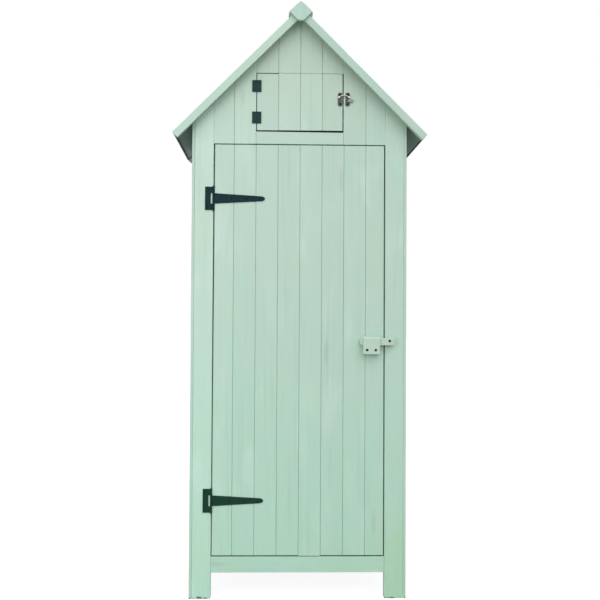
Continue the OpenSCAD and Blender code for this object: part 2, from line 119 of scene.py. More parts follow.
def paintedFir(name, settings, wornAndLitArris=False):
    material, tree, shader = newMaterial(name)
    grain = addNode(tree, "Attribute", attribute_name="grain").outputs["Vector"]
    tone = addNode(tree, "Attribute", attribute_name="tone").outputs["Fac"]
    place = addNode(tree, "TexCoord").outputs["Object"]
    axes = addNode(tree, "SeparateXYZ", {0: place})
    height = axes.outputs["Z"]

    # grain vector: x across the board, y through it, z along it, in metres
    def streaks(width, length, detail, shift):
        spot = addNode(tree, "Mapping", {"Vector": grain, "Location": (shift, 0, 0),
                                         "Scale": (1 / width, 1 / width, 1 / length)})
        return addNode(tree, "TexNoise", {"Vector": spot.outputs[0], "Scale": 1.0, "Detail": detail,
                                          "Roughness": 0.55, "Distortion": 0.4}).outputs["Fac"]

    # a colour Mix takes its colours at 6 and 7 and gives the result at 2
    def blend(under, film, level):
        over, start, full, most = film
        share = addNode(tree, "MapRange", {"Value": level, "From Min": start, "From Max": full, "To Min": 0.0,
                                           "To Max": most}, interpolation_type="SMOOTHSTEP")
        return addNode(tree, "Mix", {"Factor": share.outputs[0], 6: under, 7: hexColour(over)},
                       data_type="RGBA").outputs[2]

    rings = streaks(settings["grainWidth"], settings["grainLength"], 3.0, 0.0)
    bristles = streaks(settings["brushWidth"], settings["brushLength"], 2.0, settings["brushShift"])
    clouds = [streaks(settings["cloudWidth"], settings["cloudLength"], 2.0, shift)
              for shift in settings["cloudShifts"]]
    knotSpot = addNode(tree, "Mapping", {"Vector": grain, "Scale": (
        1 / settings["knotWidth"], 1 / settings["knotWidth"], 1 / settings["knotLength"])})
    knots = addNode(tree, "TexVoronoi", {"Vector": knotSpot.outputs[0], "Scale": 1.0}).outputs["Distance"]
    # painted light: the colour turns with height, a painted sheen up high and painted shade low down
    fade = addNode(tree, "MapRange", {"Value": height, "From Min": settings["sheenShadeFrom"],
                                      "From Max": settings["sheenShadeTo"]}, interpolation_type="SMOOTHSTEP")
    colour = addNode(tree, "Mix", {"Factor": fade.outputs[0], 6: hexColour(settings["low"]),
                                   7: hexColour(settings["high"])}, data_type="RGBA").outputs[2]
    for film, cloud in zip(("warmCloud", "coolCloud", "paleCloud"), clouds):
        colour = blend(colour, settings[film], cloud)
    # painted shade under the roof's overhang: walls near the middle turn greyer and yellower high up
    depth = addNode(tree, "Math", {0: axes.outputs["Y"]}, operation="ABSOLUTE")
    inside = addNode(tree, "Math", {0: depth.outputs[0], 1: settings["gableShadeDepth"]}, operation="LESS_THAN")
    gableShadeLevel = addNode(tree, "Math", {0: height, 1: inside.outputs[0]}, operation="MULTIPLY")
    colour = blend(colour, settings["gableShade"], gableShadeLevel.outputs[0])
    # a greener, darker film low down, most on the right
    patches = addNode(tree, "TexNoise", {"Vector": place, "Scale": 1 / settings["lowGreenPatch"], "Detail": 2.0})
    lowness = addNode(tree, "MapRange", {"Value": height, "From Min": settings["lowGreenUpTo"], "From Max": 0.0,
                                         "To Min": 0.0, "To Max": 1.0})
    rightGreen = addNode(tree, "MapRange", {"Value": axes.outputs["X"], "From Min": settings["rightGreenFrom"],
                                          "From Max": settings["rightGreenTo"], "To Min": settings["leftGreenShare"],
                                          "To Max": settings["rightGreenShare"]})
    lowGreenLevel = addNode(tree, "Math", {0: lowness.outputs[0], 1: rightGreen.outputs[0], 2: patches.outputs["Fac"]},
                   operation="MULTIPLY_ADD")
    colour = blend(colour, settings["lowGreen"], lowGreenLevel.outputs[0])
    colour = blend(colour, settings["streak"], rings)
    colour = blend(colour, settings["brushMark"], bristles)
    colour = blend(colour, settings["knot"], knots)
    colour = addNode(tree, "HueSaturation", {"Color": colour, "Value": tone}).outputs[0]
    # pale arrises: thin paint, partly a painted highlight along the edges
    if wornAndLitArris:
        colour = blend(colour, settings["thinPaintHighlight"], bristles)
    specks = addNode(tree, "TexNoise", {"Vector": place, "Scale": 1 / footSpecks["speck"], "Detail": 3.0})
    reach = addNode(tree, "MapRange", {"Value": height, "From Min": 0.0, "From Max": footSpecks["reach"],
                                       "To Min": footSpecks["atGround"], "To Max": footSpecks["atReach"]})
    level = addNode(tree, "Math", {0: specks.outputs["Fac"], 1: reach.outputs[0]}, operation="ADD")
    colour = blend(colour, footSpecks["film"], level.outputs[0])
    tree.links.new(colour, shader.inputs["Base Color"])
    gloss = addNode(tree, "MapRange", {"Value": bristles, "From Min": 0.3, "From Max": 0.7,
                                       "To Min": settings["smooth"], "To Max": settings["rough"]})
    tree.links.new(gloss.outputs[0], shader.inputs["Roughness"])
    relief = addNode(tree, "Math", {0: rings, 1: bristles}, operation="ADD")
    bump = addNode(tree, "Bump", {"Height": relief.outputs[0], "Strength": 0.2, "Distance": 0.5 * mm})
    tree.links.new(bump.outputs[0], shader.inputs["Normal"])
    return material


# Bitumen roofing felt pressed with dark mineral grit: nearly black, matt, with a fine sparkle of grains.
grit = {"dark": "#1f2224", "light": "#4a4f52", "grainSize": 2.2 * mm, "patch": 120 * mm}   # grit drawn coarse


def mineralFelt(name):
    material, tree, shader = newMaterial(name)
    place = addNode(tree, "TexCoord").outputs["Object"]
    grains = addNode(tree, "TexVoronoi", {"Vector": place, "Scale": 1 / grit["grainSize"]})
    patches = addNode(tree, "TexNoise", {"Vector": place, "Scale": 1 / grit["patch"], "Detail": 4.0})
    sparkle = addNode(tree, "SeparateColor", {0: grains.outputs["Color"]}).outputs[0]
    amount = addNode(tree, "Math", {0: sparkle, 1: patches.outputs["Fac"]}, operation="MULTIPLY")
    shade = addNode(tree, "Mix", {"Factor": amount.outputs[0], 6: hexColour(grit["dark"]),
                                  7: hexColour(grit["light"])}, data_type="RGBA")
    tree.links.new(shade.outputs[2], shader.inputs["Base Color"])
    bump = addNode(tree, "Bump", {"Height": grains.outputs["Distance"], "Strength": 0.5,
                                  "Distance": 0.8 * mm})
    tree.links.new(bump.outputs[0], shader.inputs["Normal"])
    shader.inputs["Roughness"].default_value = 0.9
    return material


# Pressed steel, powder coated matt black: bluish black high on the door and greenish black low down. The fine
# pits of the coat take most of the sheen, so the specular level is low.
def blackPowderCoat(name, coat):
    material, tree, shader = newMaterial(name)
    place = addNode(tree, "TexCoord").outputs["Object"]
    height = addNode(tree, "SeparateXYZ", {0: place}).outputs["Z"]
    patches = addNode(tree, "TexNoise", {"Vector": place, "Scale": 1 / coat["patch"], "Detail": 4.0})
    cloud = patches.outputs["Fac"]
    fade = addNode(tree, "MapRange", {"Value": height, "From Min": coat["lowAt"], "From Max": coat["highAt"]})
    base = addNode(tree, "Mix", {"Factor": fade.outputs[0], 6: hexColour(coat["low"]),
                                 7: hexColour(coat["high"])}, data_type="RGBA")
    dust = addNode(tree, "MapRange", {"Value": cloud, "From Min": 0.5, "From Max": 0.8, "To Min": 0.0,
                                      "To Max": coat["dust"]})
    shade = addNode(tree, "Mix", {"Factor": dust.outputs[0], 6: base.outputs[2], 7: hexColour(coat["lift"])},
                    data_type="RGBA")
    tree.links.new(shade.outputs[2], shader.inputs["Base Color"])
    gloss = addNode(tree, "MapRange", {"Value": cloud, "To Min": 0.42, "To Max": 0.6})
    tree.links.new(gloss.outputs[0], shader.inputs["Roughness"])
    peel = addNode(tree, "TexNoise", {"Vector": place, "Scale": 1 / coat["peel"], "Detail": 2.0})
    bump = addNode(tree, "Bump", {"Height": peel.outputs["Fac"], "Strength": 0.15, "Distance": 0.2 * mm})
    tree.links.new(bump.outputs[0], shader.inputs["Normal"])
    shader.inputs["Specular IOR Level"].default_value = 0.1
    return material


# Nickel plate on pressed steel: dull dark grey on the screw plates, bright on the wire, greenish grey on the
# lever.
nickelPatches = {"patch": 4 * mm, "smooth": 0.25, "rough": 0.45}


def nickelPlate(name, dull, bright):
    material, tree, shader = newMaterial(name)
    place = addNode(tree, "TexCoord").outputs["Object"]
    patches = addNode(tree, "TexNoise", {"Vector": place, "Scale": 1 / nickelPatches["patch"], "Detail": 3.0})
    cloud = patches.outputs["Fac"]
    share = addNode(tree, "MapRange", {"Value": cloud, "From Min": 0.35, "From Max": 0.7})
    shade = addNode(tree, "Mix", {"Factor": share.outputs[0], 6: hexColour(dull), 7: hexColour(bright)},
                    data_type="RGBA")
    tree.links.new(shade.outputs[2], shader.inputs["Base Color"])
    gloss = addNode(tree, "MapRange", {"Value": cloud, "To Min": nickelPatches["smooth"],
                                       "To Max": nickelPatches["rough"]})
    tree.links.new(gloss.outputs[0], shader.inputs["Roughness"])
    shader.inputs["Metallic"].default_value = 1.0
    return material


# Black oxide on hardened screws: dark, oily, low sheen.
oxide = {"dark": "#030504", "light": "#0c100e", "patch": 2 * mm}


def blackOxide(name):
    material, tree, shader = newMaterial(name)
    place = addNode(tree, "TexCoord").outputs["Object"]
    cloud = addNode(tree, "TexNoise", {"Vector": place, "Scale": 1 / oxide["patch"], "Detail": 2.0})
    shade = addNode(tree, "Mix", {"Factor": cloud.outputs["Fac"], 6: hexColour(oxide["dark"]),
                                  7: hexColour(oxide["light"])}, data_type="RGBA")
    tree.links.new(shade.outputs[2], shader.inputs["Base Color"])
    shader.inputs["Roughness"].default_value = 0.5
    shader.inputs["Specular IOR Level"].default_value = 0.08
    return material


paintedBoards = paintedFir("mint paint brushed on fir boards", paintSettings)
paintedArris = paintedFir("mint paint thin on fir arris", paintSettings, wornAndLitArris=True)
handled = dict(paintSettings, low="#b5d0bb", high="#b8cebc")   # yellowed where hands work the latch
latchFinish = [paintedFir("mint paint handled on latch", handled), paintedArris]
felt = mineralFelt("mineral grit bitumen felt")
hingePaint = blackPowderCoat("matt black powder coat on steel", {
    "low": "#16372b", "high": "#112a2e", "lowAt": 0.3, "highAt": 1.2,   # heights in m
    "lift": "#2a4644", "dust": 0.5, "patch": 9 * mm, "peel": 1.6 * mm})
buttPaint = blackPowderCoat("matt black powder coat gone chalky", {
    "low": "#213d3a", "high": "#213d3a", "lowAt": 0.3, "highAt": 1.2,
    "lift": "#3d5857", "dust": 0.5, "patch": 7 * mm, "peel": 1.6 * mm})
dullNickel = nickelPlate("dark nickel plate on steel", "#1c211f", "#565b56")
brightNickel = nickelPlate("bright nickel plate on wire", "#8a8d87", "#cfd2cb")
greenishNickel = nickelPlate("greenish nickel plate on lever", "#46524a", "#7d8a7f")
screwBlack = blackOxide("black oxide screw steel")
print("materials ready")


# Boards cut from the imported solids
def solidsOf(node):
    # every closed solid of a CAD node as its own mesh, with flat faces joined
    whole = bmesh.new()
    whole.from_mesh(nodes[node].data)
    bmesh.ops.remove_doubles(whole, verts=whole.verts, dist=1e-6)
    bmesh.ops.dissolve_limit(whole, angle_limit=math.radians(1), verts=whole.verts, edges=whole.edges)
    solids, seen = [], set()
    whole.verts.ensure_lookup_table()
    for start in whole.verts:
        if start in seen:
            continue
        island, queue = [], [start]
        seen.add(start)
        while queue:
            vert = queue.pop()
            island.append(vert)
            near = [edge.other_vert(vert) for edge in vert.link_edges]
            queue.extend(other for other in near if other not in seen)
            seen.update(near)
        solid = bmesh.new()
        copies = {vert: solid.verts.new(vert.co) for vert in island}
        # a dictionary keeps the faces in the same order each run
        for face in dict.fromkeys(face for vert in island for face in vert.link_faces):
            solid.faces.new([copies[vert] for vert in face.verts])
        bmesh.ops.recalc_face_normals(solid, faces=solid.faces)
        solids.append(solid)
    whole.free()
    return sorted(solids, key=lambda s: tuple(round(c, 5) for c in sum((v.co for v in s.verts), Vector())))


def cutAway(solid, point, outward):
    # keeps the side that outward points away from, and closes the cut
    found = bmesh.ops.bisect_plane(solid, geom=solid.verts[:] + solid.edges[:] + solid.faces[:], dist=1e-7,
                                   plane_co=point, plane_no=outward, clear_outer=True)
    rim = [e for e in found["geom_cut"] if isinstance(e, bmesh.types.BMEdge)]
    if rim:
        bmesh.ops.edgeloop_fill(solid, edges=rim)
        bmesh.ops.recalc_face_normals(solid, faces=solid.faces)


def dressBoard(solid, along, shows=(), groove=0.0, arris=0.6 * mm):
    # V joint on the long edges of the faces that show, then a soft arris everywhere
    along = along.normalized()
    if groove:
        longEdges = []
        for edge in solid.edges:
            run = (edge.verts[1].co - edge.verts[0].co).normalized()
            onFace = any(face.normal.dot(side) > 0.9 for face in edge.link_faces for side in shows)
            if onFace and abs(run.dot(along)) > 0.98:
                longEdges.append(edge)
        bmesh.ops.bevel(solid, geom=longEdges, offset=groove, segments=1, affect="EDGES", clamp_overlap=True)
    sharp = [e for e in solid.edges if len(e.link_faces) == 2 and e.calc_face_angle(0) > math.radians(20)]
    bmesh.ops.bevel(solid, geom=sharp, offset=arris, segments=2, profile=0.5, affect="EDGES",
                    clamp_overlap=True, material=1)


boardRules = {"grainSpread": 9.0,           # m between boards in the grain pattern, so that no two are alike
              "boardTone": (0.97, 1.03), "timberTone": (0.985, 1.015), "narrowest": 4 * mm}


def newPiece():
    mesh = bmesh.new()
    mesh.verts.layers.float_vector.new("grain")
    mesh.verts.layers.float.new("tone")
    return mesh


def addSolid(piece, solid, along, tone=None, shift=None):
    # copies a finished board into the piece with its own grain place and tone
    along = along.normalized()
    side = along.cross(up if abs(along.z) < 0.9 else back).normalized()
    through = along.cross(side)
    if shift is None:
        shift = Vector([chance.uniform(0, boardRules["grainSpread"]) for axis in range(3)])
    if tone is None:
        tone = chance.uniform(*boardRules["boardTone"])
    grain = piece.verts.layers.float_vector["grain"]
    toneLayer = piece.verts.layers.float["tone"]
    copies = {}
    for vert in solid.verts:
        copy = piece.verts.new(vert.co)
        copy[grain] = Vector((vert.co.dot(side), vert.co.dot(through), vert.co.dot(along))) + shift
        copy[toneLayer] = tone
        copies[vert] = copy
    for face in solid.faces:
        made = piece.faces.new([copies[v] for v in face.verts])
        made.material_index = face.material_index
    solid.free()


def placePiece(piece, name, body, materials, replaced=(), smooth=False):
    mesh = bpy.data.meshes.new(name)
    piece.to_mesh(mesh)
    piece.free()
    for material in materials:
        mesh.materials.append(material)
    if smooth:
        mesh.shade_smooth()
    thing = bpy.data.objects.new(name, mesh)
    bpy.context.scene.collection.objects.link(thing)
    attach(thing, body)
    if replaced:
        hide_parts(*replaced)


woodFinish = [paintedBoards, paintedArris]


def trimEnds(solid, amount):
    # shortens a timber a little at its left and right ends, so that the joint beside it shows as a fine line
    low = min(v.co.x for v in solid.verts)
    high = max(v.co.x for v in solid.verts)
    for vert in solid.verts:
        if vert.co.x < low + hair:
            vert.co.x += amount
        elif vert.co.x > high - hair:
            vert.co.x -= amount


def timbers(node, along, body="shed", arris=1.2 * mm, tone=1.0, trim=0.0, shape=None,
            finish=woodFinish):
    # rails, posts and battens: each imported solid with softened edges, grain along its length
    piece = newPiece()
    for solid in solidsOf(node):
        run = along(solid) if callable(along) else along
        if trim:
            trimEnds(solid, trim)
        if shape:
            shape(solid)
        dressBoard(solid, run, arris=arris)
        addSolid(piece, solid, run, tone * chance.uniform(*boardRules["timberTone"]))
    placePiece(piece, node + "_timber", body, finish, [node])


tongue = {"lap": 0.1 * mm, "share": 0.3, "tone": 0.9}   # share: its thickness against the board's


def addTongue(piece, solid, across, along, line, gap, facing):
    # tongue in the middle of the joint, so no daylight comes through
    strip = solid.copy()
    half = gap / 2 + tongue["lap"]
    cutAway(strip, across * (line - half), -across)
    cutAway(strip, across * (line + half), across)
    depths = [v.co.dot(facing) for v in strip.verts]
    middle = (min(depths) + max(depths)) / 2
    for vert in strip.verts:
        vert.co += facing * (middle - vert.co.dot(facing)) * (1 - tongue["share"])
    addSolid(piece, strip, along, tongue["tone"], Vector())


def boards(node, across, along, lines, shows, settings, body="shed", shape=None,
           tones=None):
    # a slab cut at the given lines into boards with V joints; lines are distances along across
    # tones: brightness of each board in turn, the last one for all that follow
    piece = newPiece()
    for solid in solidsOf(node):
        reach = [v.co.dot(across) for v in solid.verts]
        first = min(reach) + boardRules["narrowest"]
        last = max(reach) - boardRules["narrowest"]
        inner = [line for line in lines if first < line < last]
        edges = [None] + sorted(inner) + [None]
        for number, (low, high) in enumerate(zip(edges, edges[1:])):
            board = solid.copy()
            if low is not None:
                cutAway(board, across * (low + settings["gap"] / 2), -across)
            if high is not None:
                cutAway(board, across * (high - settings["gap"] / 2), across)
            if shape:
                shape(board, number)
            dressBoard(board, along, shows, settings["groove"], settings["arris"])
            sink = chance.uniform(0, settings["uneven"])
            bmesh.ops.translate(board, verts=board.verts, vec=-shows[0] * sink)
            addSolid(piece, board, along, tones[min(number, len(tones) - 1)] if tones else None)
        for line in inner:
            addTongue(piece, solid, across, along, line, settings["gap"], shows[0])
        solid.free()
    placePiece(piece, node + "_boards", body, woodFinish, [node])


def longest(solid):
    spans = [max(v.co[i] for v in solid.verts) - min(v.co[i] for v in solid.verts) for i in range(3)]
    return (right, back, up)[spans.index(max(spans))]


# front cladding: one board grid runs through the door, the hatch and the gable
cladding = {"pitch": 66.7 * mm, "gap": 0.6 * mm, "groove": 1.1 * mm, "arris": 0.35 * mm, "uneven": 0.4 * mm,
            "offset": 1.4 * mm}
frontLines = [cladding["pitch"] * i + cladding["offset"] for i in range(-4, 5)]
# painted light: the left gable boards lighter, lifted further against the shade under the left barge, and the
# right ones darker, as the light falls from the left
gableTones = {"gable_left_boards": (1.05, 1.07, 1.11), "gable_right_boards": (0.96, 0.98, 0.98),
              "gable_top_boards": (0.99, 0.99, 0.97, 0.97)}
for node, tones in gableTones.items():
    boards(node, right, up, frontLines, [front], cladding, tones=tones)
boards("back_wall", right, up, frontLines, [back], cladding)

# hatch: four boards of uneven length, so the gap is widest under the right three and closes above them
hatchLeaf = {"hingeSide": 0.9 * mm, "catchSide": 2.4 * mm, "lean": 3.6 * mm,   # the catch side is planed back
             "above": (0.2 * mm, 2.1 * mm, 2.2 * mm, 1.9 * mm), "below": (0.5 * mm, 0.2 * mm, 0.0, 0.0),
             "undercut": 5.0 * mm,   # lower edge sawn at a slope, so the gap under it shows black
             # board tones: partly their own, the rightmost darker as painted light that dims towards the
             # right
             "tones": (1.0, 1.02, 1.01, 0.97)}
hatchLow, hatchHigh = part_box("hatch_panel")


def shapeHatchBoard(board, number):
    for vert in board.verts:
        inside = vert.co.y > hatchLow.y + hair
        if vert.co.z > hatchHigh.z - hair:
            vert.co.z += hatchLeaf["above"][number]
        elif vert.co.z < hatchLow.z + hair:
            vert.co.z -= hatchLeaf["below"][number] - (hatchLeaf["undercut"] if inside else 0.0)
        if vert.co.x < hatchLow.x + hair:
            vert.co.x -= hatchLeaf["hingeSide"]
        elif vert.co.x > hatchHigh.x - hair:
            vert.co.x += hatchLeaf["catchSide"] - (0.0 if inside else hatchLeaf["lean"])


boards("hatch_panel", right, up, frontLines, [front], cladding, shape=shapeHatchBoard,
       tones=hatchLeaf["tones"])

# side cladding: five boards between the leg boards
sideLow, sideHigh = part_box("left_wall")
sideCount = 5
sideLines = [sideLow.y + (sideHigh.y - sideLow.y) * i / sideCount for i in range(1, sideCount)]
boards("left_wall", back, up, sideLines, [left], cladding)
boards("right_wall", back, up, sideLines, [right], cladding)
print("walls boarded")

# door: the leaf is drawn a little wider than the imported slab, so its gaps look as tight as the real ones
doorLeaf = {"hingeTop": 0.8 * mm, "hingeFoot": 2.3 * mm, "latchTop": 1.0 * mm, "latchFoot": 1.6 * mm,
            "head": 1.65 * mm, "foot": 0.8 * mm,
            "longBoard": 4, "hang": 2.6 * mm,   # one board hangs a little low
            # board tones: partly their own, partly painted light that dims towards the right
            "tones": (1.02, 1.0, 1.0, 0.99, 0.995, 0.975, 0.98, 0.985)}
doorLow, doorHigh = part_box("door_panel")


def shapeDoorBoard(board, number):
    for vert in board.verts:
        atFoot = vert.co.z < doorLow.z + hair
        if vert.co.x < doorLow.x + hair:
            vert.co.x -= doorLeaf["hingeFoot" if atFoot else "hingeTop"]
        elif vert.co.x > doorHigh.x - hair:
            vert.co.x += doorLeaf["latchFoot" if atFoot else "latchTop"]
        if atFoot:
            vert.co.z -= doorLeaf["hang" if number == doorLeaf["longBoard"] else "foot"]
        elif vert.co.z > doorHigh.z - hair:
            vert.co.z += doorLeaf["head"]


boards("door_panel", right, up, frontLines, [front], cladding, body="door", shape=shapeDoorBoard,
       tones=doorLeaf["tones"])
timbers("door_ledges", right, body="door")

# floors and roof slopes: boards laid across the short way
laid = {"pitch": 62 * mm, "gap": 0.8 * mm, "groove": 1.0 * mm, "arris": 0.4 * mm, "uneven": 0.3 * mm,
        "ridgeBoard": 0.7,   # width of the topmost roof board against the others
        # painted shade: the roof boards are darkened so the soffit under the eaves reads dark
        "soffitShadeTones": {"left_roof_deck": 0.42, "right_roof_deck": 0.52}}
floorLines = [laid["pitch"] * i for i in range(-3, 4)]
boards("floor_boards", back, right, floorLines, [up, down], laid)
boards("loft_floor", back, right, floorLines, [up, down], laid)
for node, sideways in (("left_roof_deck", left), ("right_roof_deck", right)):
    downSlope = (sideways + down).normalized()
    soffit = (down - sideways).normalized()
    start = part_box(node)[1].z * up.dot(downSlope)
    deckLines = [start + laid["pitch"] * (i + laid["ridgeBoard"]) for i in range(10)]
    boards(node, downSlope, back, deckLines, [soffit], laid,
           tones=[laid["soffitShadeTones"][node]])

# posts and rails, with the tone of each as the photo shows it
# painted light: the left post lighter and the right post darker, as the light falls from the left
postTones = {"front_left_post": 1.08, "front_right_post": 0.98, "back_left_post": 1.0, "back_right_post": 1.0}
for node, tone in postTones.items():
    timbers(node, up, tone=tone)
timbers("leg_boards", up, tone=0.97, trim=0.35 * mm)
timbers("base_rails", longest, trim=0.3 * mm)

# cross board under the hatch: its upper edge was sawn a little down to the right
hatchSill = {"dropLeft": 1.4 * mm, "dropRight": 2.7 * mm, "arris": 0.8 * mm, "trim": 0.5 * mm}


def slopeSill(solid):
    top = max(v.co.z for v in solid.verts)
    for vert in solid.verts:
        if vert.co.z > top - hair:
            vert.co.z -= hatchSill["dropRight"] if vert.co.x > 0 else hatchSill["dropLeft"]


timbers("hatch_sill", right, arris=hatchSill["arris"], trim=hatchSill["trim"], shape=slopeSill)
for node in ("mid_rails", "wall_plates", "head_rails", "floor_bearers", "loft_bearers", "hatch_ledges"):
    timbers(node, longest)
timbers("door_stops", longest, tone=0.5)   # painted shade: darkened so the door's gap reads dark

# roof timbers
roofTimber = {"arris": 0.8 * mm, "ridgeShadeTone": 0.85, "finialArris": 1.0 * mm, "finialTone": 0.95}
# painted light: battens and ridge boards are darkened as painted shade, and the right front barge is darker
# than the left as the light falls from the left
for node, sideways, tone in (("left_roof_battens", left, 0.9), ("right_roof_battens", right, 0.9),
                             ("front_left_barge", left, 1.03), ("front_right_barge", right, 0.94),
                             ("back_left_barge", left, 1.0), ("back_right_barge", right, 1.0)):
    timbers(node, (sideways + down).normalized(), arris=roofTimber["arris"], tone=tone)
for node in ("left_ridge_board", "right_ridge_board"):
    timbers(node, back, arris=roofTimber["arris"], tone=roofTimber["ridgeShadeTone"])
timbers("finials", up, arris=roofTimber["finialArris"], tone=roofTimber["finialTone"])

# latch: the block's lip is chamfered at the top, that chamfer in the pale arris paint as a painted highlight,
# and its paint is yellower than the door's
# the bar is darkened: painted shade beside and behind the block
latchBlock = {"chamfer": 5.0 * mm, "rise": 2.0 * mm, "widen": 1.2 * mm, "arris": 0.9 * mm, "hookTone": 1.0,
              "barLonger": 3.0 * mm, "barArris": 1.2 * mm, "barShadeTone": 0.92}


def chamferLip(solid):
    top = max(v.co.z for v in solid.verts)
    face = min(v.co.y for v in solid.verts)
    end = max(v.co.x for v in solid.verts)
    rim = [e for e in solid.edges if all(v.co.z > top - hair and v.co.y < face + hair for v in e.verts)]
    for vert in solid.verts:
        if vert.co.z > top - hair:
            vert.co.z += latchBlock["rise"]
        if vert.co.x > end - hair:
            vert.co.x += latchBlock["widen"]
    # the chamfer takes the pale arris paint: a painted highlight along the top of the lip
    bmesh.ops.bevel(solid, geom=rim, offset=latchBlock["chamfer"], segments=1, affect="EDGES", material=1)


def lengthenBar(solid):
    end = max(v.co.x for v in solid.verts)
    for vert in solid.verts:
        if vert.co.x > end - hair:
            vert.co.x += latchBlock["barLonger"]


timbers("latch_hook", right, body="door", arris=latchBlock["arris"], tone=latchBlock["hookTone"],
        shape=chamferLip, finish=latchFinish)
timbers("latch_bar", right, body="door", arris=latchBlock["barArris"], tone=latchBlock["barShadeTone"],
        shape=lengthenBar, finish=latchFinish)
print("timbers placed")


# Roofing felt: one sheet a slope, a little wavy, folded down over the eave with a narrow hem under its edge
feltSheet = {"thick": 2 * mm, "fold": 3 * mm, "turnDown": 12 * mm, "under": 2 * mm,
             "rows": 60, "columns": 40, "bend": 6,      # faces down the slope, along it and round a bend
             "feather": 4 * mm,                         # thin at the ridge, under the ridge boards
             "wave": 0.9 * mm, "waveDown": 61, "waveAlong": 43, "skew": 9,   # depth, then radians a metre
             "sway": 4, "swayAlong": 17,
             "flatTop": 60 * mm, "flatEave": 40 * mm}   # the waves die out over these


def bendAngles(first):
    return [math.radians(90 * i / feltSheet["bend"]) for i in range(first, feltSheet["bend"] + 1)]


def feltOn(node, sideways):
    low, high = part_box(node)
    ridge = up * high.z
    downSlope = (sideways + down).normalized()
    out = (sideways + up).normalized()
    length = abs(high.x - low.x) / abs(downSlope.x)
    # outer line of the sheet: flat down the slope, a quarter bend, the turned-down lip, a tight bend, the hem
    line = []
    flat = length - feltSheet["fold"]
    for i in range(feltSheet["rows"] + 1):
        line.append((flat * i / feltSheet["rows"], 0.0, out))
    for a in bendAngles(1):
        line.append((flat + feltSheet["fold"] * math.sin(a), feltSheet["fold"] * (math.cos(a) - 1),
                     out * math.cos(a) + downSlope * math.sin(a)))
    hem = feltSheet["thick"]
    for a in bendAngles(0):
        line.append((length - hem * (1 - math.cos(a)), -feltSheet["turnDown"] - hem * math.sin(a),
                     downSlope * math.cos(a) - out * math.sin(a)))
    line.append((length - hem - feltSheet["under"], -feltSheet["turnDown"] - hem, -out))
    sheet = bmesh.new()
    grid = []
    for j in range(feltSheet["columns"] + 1):
        y = low.y + (high.y - low.y) * j / feltSheet["columns"]
        column = []
        for u, v, normal in line:
            sway = feltSheet["sway"] * math.sin(y * feltSheet["swayAlong"])
            ripple = (math.sin(u * feltSheet["waveDown"] + sway)
                      * math.sin(y * feltSheet["waveAlong"] + u * feltSheet["skew"]))
            inside = feltSheet["thick"] * (1.0 if u > feltSheet["feather"] else 0.0)
            slack = min(1.0, u / feltSheet["flatTop"]) * min(1.0, (length - u) / feltSheet["flatEave"])
            lift = feltSheet["wave"] * 0.5 * (ripple - 1) * slack
            centre = ridge + back * y + downSlope * u + out * v
            column.append((sheet.verts.new(centre + normal * lift),
                           sheet.verts.new(centre - normal * inside)))
        grid.append(column)
    for a, b in zip(grid, grid[1:]):
        for i in range(len(line) - 1):
            sheet.faces.new((a[i][0], a[i + 1][0], b[i + 1][0], b[i][0]))
            sheet.faces.new((a[i][1], b[i][1], b[i + 1][1], a[i + 1][1]))
        sheet.faces.new((a[-1][0], a[-1][1], b[-1][1], b[-1][0]))
        sheet.faces.new((a[0][0], b[0][0], b[0][1], a[0][1]))
    for column in (grid[0], grid[-1]):
        for i in range(len(line) - 1):
            sheet.faces.new((column[i][0], column[i][1], column[i + 1][1], column[i + 1][0]))
    bmesh.ops.remove_doubles(sheet, verts=sheet.verts, dist=1e-6)
    bmesh.ops.recalc_face_normals(sheet, faces=sheet.faces)
    placePiece(sheet, node + "_sheet", "shed", [felt], [node], smooth=True)


feltOn("left_roof_felt", left)
feltOn("right_roof_felt", right)
print("felt laid")


# Screws: low domed heads with a cross recess. Sizes are shares of the radius, heights in profile of the dome
screwHead = {"segments": 28, "dome": 0.42, "profile": ((1.0, 0.0), (0.97, 0.25), (0.86, 0.62), (0.72, 0.85)),
             "mouth": 0.9, "recess": 0.62, "slot": 0.17, "depth": 0.45, "taper": 0.8}


def addScrew(piece, centre, facing, radius, turn=0.0):
    side = facing.cross(up).normalized()
    other = side.cross(facing).normalized()
    height = radius * screwHead["dome"]
    count = screwHead["segments"]

    def at(x, y, z):
        c, s = math.cos(turn), math.sin(turn)
        return centre + side * (x * c - y * s) + other * (x * s + y * c) + facing * z

    rings = []
    angles = [math.tau * i / count for i in range(count)]
    for share, lift in screwHead["profile"]:
        wide = radius * share
        rings.append([piece.verts.new(at(wide * math.cos(a), wide * math.sin(a), height * lift))
                      for a in angles])
    for a, b in zip(rings, rings[1:]):
        for i in range(count):
            j = (i + 1) % count
            piece.faces.new((a[i], a[j], b[j], b[i]))
    n = radius * screwHead["recess"]
    w = radius * screwHead["slot"]
    cross = [(n, -w), (n, w), (w, w), (w, n), (-w, n), (-w, w),
             (-n, w), (-n, -w), (-w, -w), (-w, -n), (w, -n), (w, -w)]
    rim = height * screwHead["mouth"]
    bottom = rim - radius * screwHead["depth"]
    mouth = [piece.verts.new(at(x, y, rim)) for x, y in cross]
    floor = [piece.verts.new(at(x * screwHead["taper"], y * screwHead["taper"], bottom)) for x, y in cross]
    for i in range(len(cross)):
        j = (i + 1) % len(cross)
        piece.faces.new((mouth[i], mouth[j], floor[j], floor[i]))
    piece.faces.new(floor)
    edges = []
    for loop in (rings[-1], mouth):
        for pair in zip(loop, loop[1:] + loop[:1]):
            edges.append(piece.edges.get(pair) or piece.edges.new(pair))
    bmesh.ops.triangle_fill(piece, use_beauty=True, edges=edges)
    piece.faces.new(rings[0][::-1])
    bmesh.ops.recalc_face_normals(piece, faces=piece.faces)


